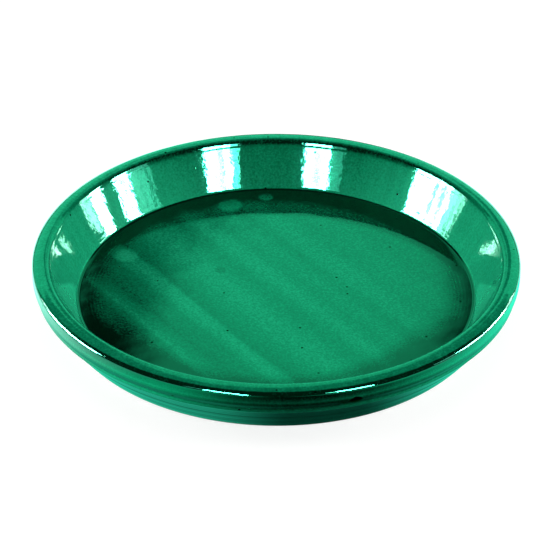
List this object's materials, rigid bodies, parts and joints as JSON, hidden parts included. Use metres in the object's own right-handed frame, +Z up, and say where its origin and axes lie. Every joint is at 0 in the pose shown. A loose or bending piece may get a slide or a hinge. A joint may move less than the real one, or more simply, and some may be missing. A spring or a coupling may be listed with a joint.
{
  "type": "plant saucer",
  "caption": "Round shallow glazed dish with a flat floor, a flared wall and a rolled rim, standing on a bare foot ring, for water that drains from a plant pot.",
  "frame": {"origin": "centre of the foot, on the surface that the saucer stands on", "axes": "+Z up along the axis that the saucer was turned about, +Y away from the viewer of the picture, +X to their right"},
  "size_m": [0.3, 0.3, 0.0375],
  "materials": {
    "bare_clay": "matt, unglazed",
    "green_glaze": "glossy, transparent emerald green"
  },
  "bodies": {
    "root": {"clay_body": "bare_clay", "glaze_coat": "green_glaze"}
  },
  "joints": []
}
